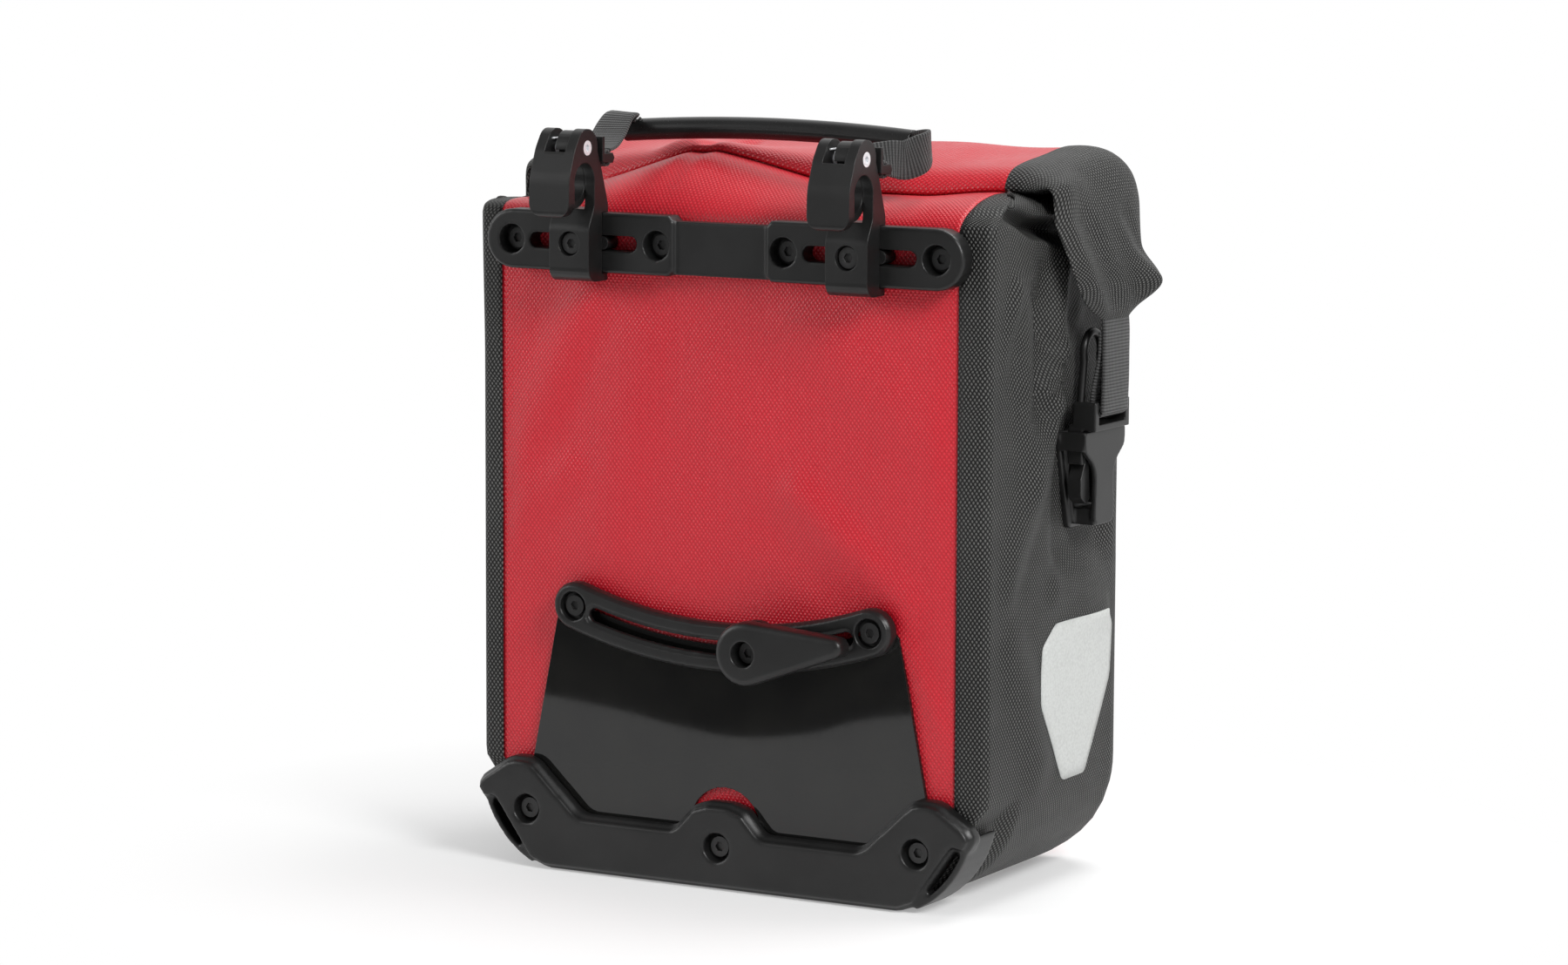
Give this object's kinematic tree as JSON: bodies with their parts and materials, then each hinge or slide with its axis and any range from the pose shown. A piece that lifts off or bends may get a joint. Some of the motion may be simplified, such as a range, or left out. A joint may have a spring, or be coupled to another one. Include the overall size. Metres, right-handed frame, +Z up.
{
  "type": "roll-top pannier bag",
  "caption": "Roll-top bicycle pannier with clip hooks on a top rail, a lever handle, an arched lower anchor rail, a wear plate and a bottom guard.",
  "frame": {"origin": "middle of the base, on the floor", "axes": "+Z up, -Y towards the rack, +X to the right seen from the rack"},
  "size_m": [0.304, 0.1705, 0.3318],
  "materials": {
    "red_fabric": "coated, satin, fine weave",
    "black_fabric": "coated coarse weave",
    "webbing": "ribbed webbing",
    "black_plastic": "moulded, matte",
    "gloss_plate": "glossy, finely scratched",
    "grip": "glossy",
    "board": "plain",
    "steel": "bright",
    "dark_screw": "blackened",
    "reflector": "retroreflective film"
  },
  "bodies": {
    "bag": {"back_panel": "red_fabric", "front_panel": "red_fabric", "base_panel": "red_fabric", "shoulder_panel": "red_fabric", "left_side_panel": "black_fabric", "right_side_panel": "black_fabric", "stiffener_board": "board", "top_rail": "black_plastic", "rail_screws": "dark_screw", "backing_nuts": "steel", "wear_plate": "gloss_plate", "arched_rail": "black_plastic", "arched_rail_screws": "dark_screw", "bottom_guard": "black_plastic", "guard_screws": "dark_screw", "left_reflector": "reflector", "right_reflector": "reflector", "left_buckle_socket": "black_plastic", "right_buckle_socket": "black_plastic"},
    "left_hook": {"left_hook": "black_plastic", "left_hook_screw": "dark_screw", "left_hook_runner": "black_plastic", "left_hook_pin": "steel"},
    "right_hook": {"right_hook": "black_plastic", "right_hook_screw": "dark_screw", "right_hook_runner": "black_plastic", "right_hook_pin": "steel"},
    "left_lever": {"left_lever": "black_plastic", "left_lever_spring": "steel"},
    "right_lever": {"right_lever": "black_plastic", "right_lever_spring": "steel"},
    "handle_straps": {"left_handle_loop": "webbing", "right_handle_loop": "webbing"},
    "handle_grip": {"handle_webbing": "webbing", "handle_tube": "grip"},
    "roll_top": {"rolled_closure": "red_fabric", "left_roll_end": "black_fabric", "right_roll_end": "black_fabric", "closure_stiffener": "board", "left_closure_strap": "webbing", "right_closure_strap": "webbing"},
    "left_buckle": {"left_buckle_plug": "black_plastic"},
    "right_buckle": {"right_buckle_plug": "black_plastic"},
    "left_front_prong": {"left_front_prong": "black_plastic"},
    "left_rear_prong": {"left_rear_prong": "black_plastic"},
    "right_front_prong": {"right_front_prong": "black_plastic"},
    "right_rear_prong": {"right_rear_prong": "black_plastic"},
    "anchor_slider": {"anchor_runner": "black_plastic", "anchor_washer": "black_plastic", "anchor_screw": "dark_screw"},
    "anchor_hook": {"anchor_hook": "black_plastic"}
  },
  "joints": [
    {"name": "left_hook_slide", "type": "slide", "parent": "bag", "child": "left_hook", "axis": [1, 0, 0], "range_m": [-0.0115, 0.0115]},
    {"name": "right_hook_slide", "type": "slide", "parent": "bag", "child": "right_hook", "axis": [1, 0, 0], "range_m": [-0.0115, 0.0115]},
    {"name": "handle_lift", "type": "slide", "parent": "left_hook", "child": "handle_straps", "axis": [0, 0, 1], "range_m": [0, 0.01032], "stiffness_N_per_m": 500, "springref_m": -0.003},
    {"name": "left_lever_turn", "type": "hinge", "parent": "left_hook", "child": "left_lever", "pos_m": [-0.068, -0.088, 0.3195], "axis": [1, 0, 0], "range_deg": [0, 32.09]},
    {"name": "right_lever_turn", "type": "hinge", "parent": "right_hook", "child": "right_lever", "pos_m": [0.068, -0.088, 0.3195], "axis": [1, 0, 0], "range_deg": [0, 32.09]},
    {"name": "grip_swing", "type": "hinge", "parent": "handle_straps", "child": "handle_grip", "pos_m": [0, -0.07, 0.31434], "axis": [1, 0, 0], "range_deg": [0, 80]},
    {"name": "roll_open", "type": "slide", "parent": "bag", "child": "roll_top", "axis": [0, 0, 1], "range_m": [0, 0.11]},
    {"name": "left_buckle_slide", "type": "slide", "parent": "roll_top", "child": "left_buckle", "axis": [0, 0, 1], "range_m": [0, 0.034], "deforming": ["left_closure_strap"]},
    {"name": "left_front_prong_bend", "type": "hinge", "parent": "left_buckle", "child": "left_front_prong", "pos_m": [-0.13177, 0.029, 0.188], "axis": [1, 0, 0], "range_deg": [-10, 0], "stiffness_Nm_per_rad": 0.03},
    {"name": "left_rear_prong_bend", "type": "hinge", "parent": "left_buckle", "child": "left_rear_prong", "pos_m": [-0.13177, 0.007, 0.188], "axis": [1, 0, 0], "range_deg": [0, 10], "stiffness_Nm_per_rad": 0.03},
    {"name": "right_buckle_slide", "type": "slide", "parent": "roll_top", "child": "right_buckle", "axis": [0, 0, 1], "range_m": [0, 0.034], "deforming": ["right_closure_strap"]},
    {"name": "right_front_prong_bend", "type": "hinge", "parent": "right_buckle", "child": "right_front_prong", "pos_m": [0.13177, 0.029, 0.188], "axis": [1, 0, 0], "range_deg": [-10, 0], "stiffness_Nm_per_rad": 0.03},
    {"name": "right_rear_prong_bend", "type": "hinge", "parent": "right_buckle", "child": "right_rear_prong", "pos_m": [0.13177, 0.007, 0.188], "axis": [1, 0, 0], "range_deg": [0, 10], "stiffness_Nm_per_rad": 0.03},
    {"name": "anchor_arc", "type": "hinge", "parent": "bag", "child": "anchor_slider", "pos_m": [0, -0.0762, 0.329], "axis": [0, 1, 0], "range_deg": [-8.8, 19.5]},
    {"name": "anchor_swivel", "type": "hinge", "parent": "anchor_slider", "child": "anchor_hook", "pos_m": [0.0206, -0.0822, 0.10695], "axis": [0, 1, 0], "continuous": true}
  ],
  "couplings": [
    {"joint": "right_hook_slide", "follows": "left_hook_slide", "ratio": 1},
    {"joint": "left_lever_turn", "follows": "handle_lift", "rad_per_m": 54.105},
    {"joint": "right_lever_turn", "follows": "handle_lift", "rad_per_m": 54.105},
    {"joint": "left_rear_prong_bend", "follows": "left_front_prong_bend", "ratio": -1},
    {"joint": "right_rear_prong_bend", "follows": "right_front_prong_bend", "ratio": -1}
  ]
}
